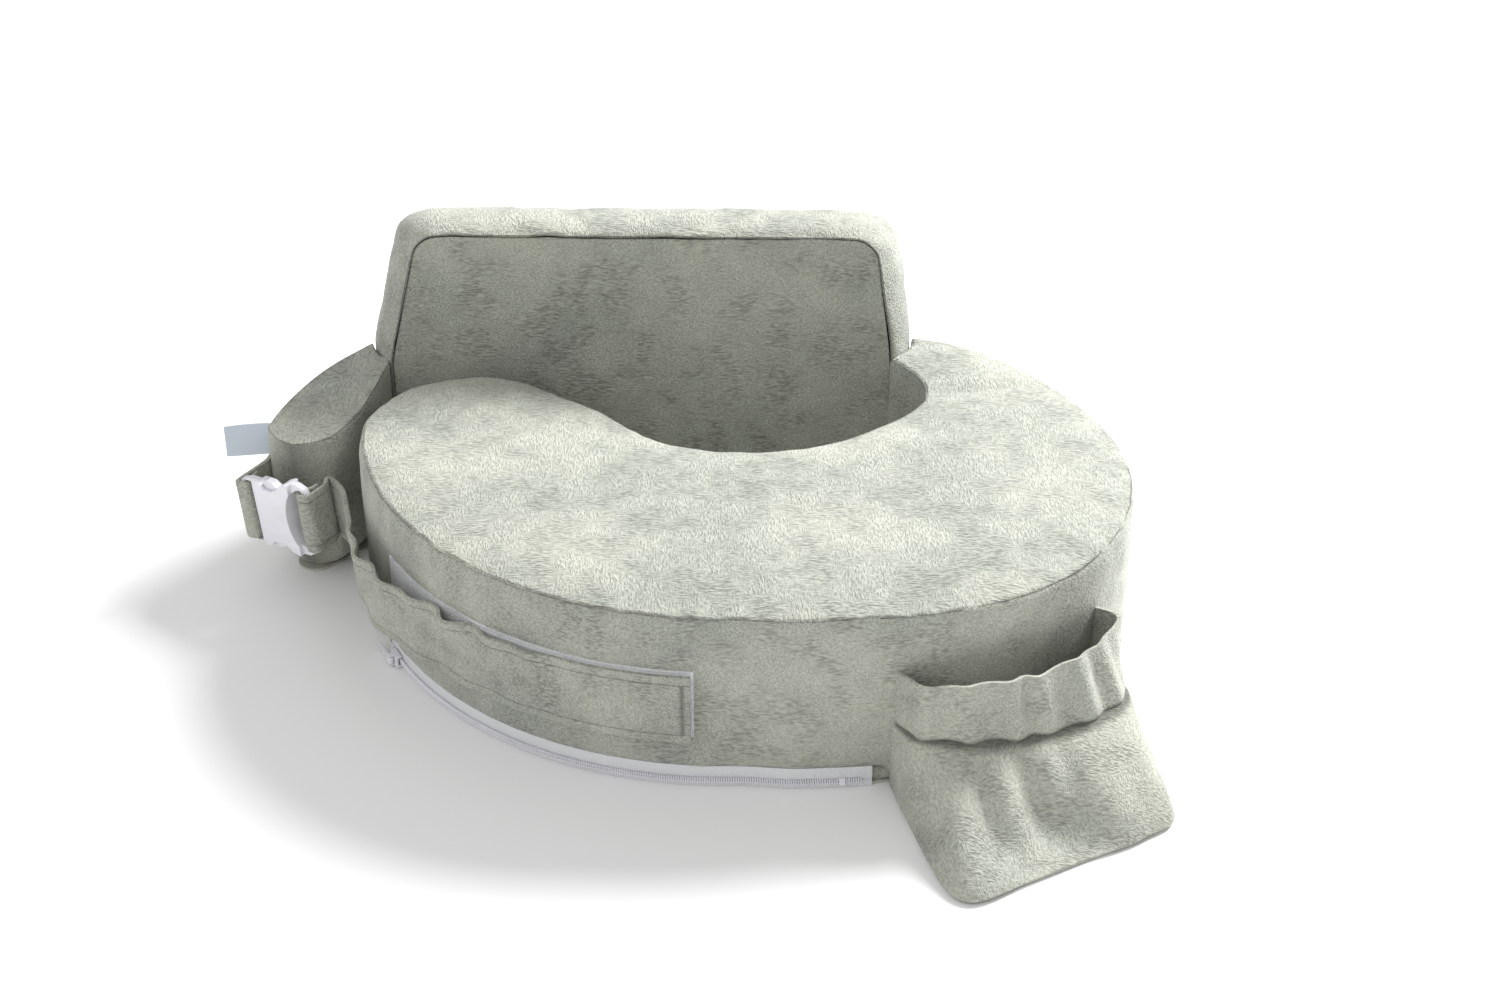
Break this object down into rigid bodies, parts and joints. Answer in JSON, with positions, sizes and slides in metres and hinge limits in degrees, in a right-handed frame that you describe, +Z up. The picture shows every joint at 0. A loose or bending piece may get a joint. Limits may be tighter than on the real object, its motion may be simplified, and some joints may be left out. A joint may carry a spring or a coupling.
{
  "type": "nursing pillow",
  "caption": "Crescent nursing pillow with a raised lumbar backrest, a waist strap with a side-release buckle, a zipped plush cover and a bottle pocket.",
  "frame": {"origin": "on the flat underside, on the wearer's centre line just in front of the waist curve's tip lobe, 135 mm in front of the axis that the outer wall curves round", "axes": "+Z up, out of the underside; +X along the backrest, from the buckle's side to the pocket's side; +Y to the wearer's back"},
  "size_m": [0.5591, 0.445, 0.204],
  "materials": {
    "plush_sage": "short directional plush nap, sage grey",
    "underside_plush": "plain short plush",
    "foam_cream": "open-cell polyurethane foam",
    "zipper_tape_white": "woven polyester tape",
    "zipper_coil_white": "nylon coil",
    "zipper_metal_white": "white enamel on zinc",
    "loop_tape_white": "knitted loop pile",
    "hook_tape_white": "woven nylon hooks",
    "buckle_white": "satin moulded acetal",
    "elastic_white": "braided elastic",
    "tag_satin": "woven satin, no lettering"
  },
  "bodies": {
    "pillow": {"platform_foam": "foam_cream", "platform_top_panel": "plush_sage", "platform_outer_wall": "plush_sage", "platform_waist_wall": "plush_sage", "underside_panel": "underside_plush", "backrest_foam": "foam_cream", "backrest_front_panel": "plush_sage", "backrest_boxing": "plush_sage", "backrest_rear_panel": "plush_sage", "arm_foam": "foam_cream", "arm_top_panel": "plush_sage", "arm_inner_wall": "plush_sage", "arm_outer_wall": "plush_sage", "zipper_tape_upper": "zipper_tape_white", "zipper_tape_lower": "zipper_tape_white", "zipper_coil": "zipper_coil_white", "zipper_top_stop": "zipper_metal_white", "zipper_bottom_stop": "zipper_metal_white", "loop_tape": "loop_tape_white", "hook_tape": "hook_tape_white", "waist_strap": "plush_sage", "arm_strap": "plush_sage", "buckle_socket": "buckle_white", "pocket_body": "plush_sage", "pocket_hem": "plush_sage", "pocket_elastic": "elastic_white", "woven_tag": "tag_satin"},
    "zipper_slider": {"zipper_slider": "zipper_metal_white"},
    "zipper_pull": {"zipper_pull": "zipper_metal_white"},
    "buckle_tongue": {"buckle_tongue": "buckle_white"},
    "prong_upper": {"prong_upper": "buckle_white"},
    "prong_lower": {"prong_lower": "buckle_white"}
  },
  "joints": [
    {"name": "zipper_travel", "type": "hinge", "parent": "pillow", "child": "zipper_slider", "pos_m": [0, 0.135, 0.005], "axis": [0, 0, 1], "range_deg": [0, 60]},
    {"name": "zipper_pull_flip", "type": "hinge", "parent": "zipper_slider", "child": "zipper_pull", "pos_m": [-0.20131, 0.03021, 0.005], "axis": [0, 0, 1], "range_deg": [0, 150]},
    {"name": "buckle_release", "type": "slide", "parent": "pillow", "child": "buckle_tongue", "axis": [-0.8417, 0.526, -0.1219], "range_m": [0, 0.03], "deforming": ["arm_strap", "prong_upper", "prong_lower"]},
    {"name": "prong_upper_pinch", "type": "hinge", "parent": "buckle_tongue", "child": "prong_upper", "pos_m": [-0.28586, 0.12091, 0.06738], "axis": [0.5299, 0.848, 0], "range_deg": [0, 20], "stiffness_Nm_per_rad": 0.05},
    {"name": "prong_lower_pinch", "type": "hinge", "parent": "buckle_tongue", "child": "prong_lower", "pos_m": [-0.28318, 0.11923, 0.04157], "axis": [0.5299, 0.848, 0], "range_deg": [-20, 0], "stiffness_Nm_per_rad": 0.05}
  ],
  "couplings": [
    {"joint": "prong_lower_pinch", "follows": "prong_upper_pinch", "ratio": -1}
  ]
}
